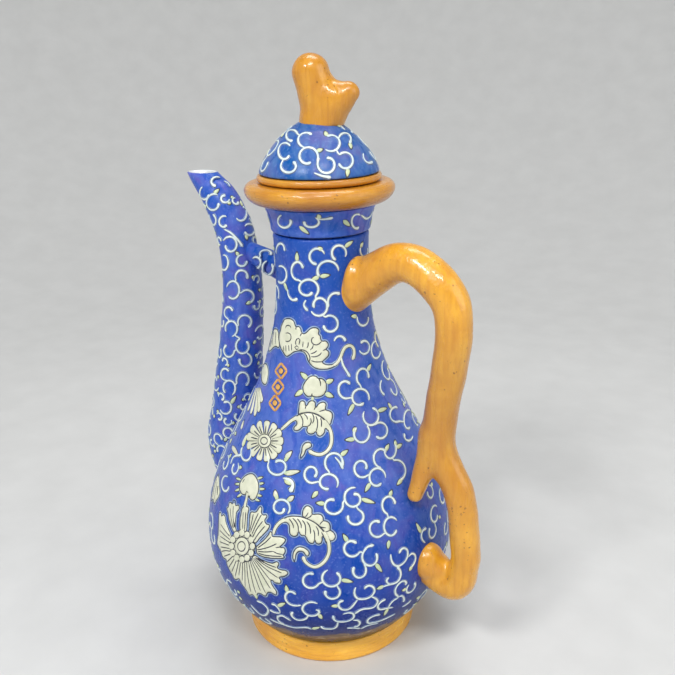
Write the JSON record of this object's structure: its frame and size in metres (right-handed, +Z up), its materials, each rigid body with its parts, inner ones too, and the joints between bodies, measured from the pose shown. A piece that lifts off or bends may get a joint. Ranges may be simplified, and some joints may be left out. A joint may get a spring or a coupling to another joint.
{
  "type": "teapot",
  "caption": "Pear-shaped enamelled stoneware ewer with a tall curved spout, a branch-shaped handle and a domed lift-off lid, for pouring tea or wine.",
  "frame": {"origin": "centre of the foot ring on the surface that the pot stands on, close under the middle of its box", "axes": "+Z up along the pot's axis, +X towards the handle, -X towards the spout"},
  "size_m": [0.142, 0.1038, 0.2348],
  "materials": {
    "blue_enamel": "glossy cobalt-blue enamel over stoneware, with raised white scrolls",
    "ochre_clay": "glossy ochre slip over stoneware, with fine dark specks",
    "bare_clay": "unglazed brown stoneware"
  },
  "bodies": {
    "pot": {"foot_ring": "ochre_clay", "base_disc": "bare_clay", "pear_body": "blue_enamel", "neck": "blue_enamel", "neck_collar": "blue_enamel", "mouth_rim": "ochre_clay", "spout": "blue_enamel", "spout_bridge": "blue_enamel", "handle": "ochre_clay", "handle_spur": "ochre_clay"},
    "lid": {"lid_collar": "bare_clay", "lid_flange": "ochre_clay", "lid_dome": "blue_enamel", "knob": "ochre_clay", "knob_twig": "ochre_clay"}
  },
  "joints": [
    {"name": "lid_lift", "type": "slide", "parent": "pot", "child": "lid", "axis": [0, 0, 1], "range_m": [0, 0.06]}
  ]
}
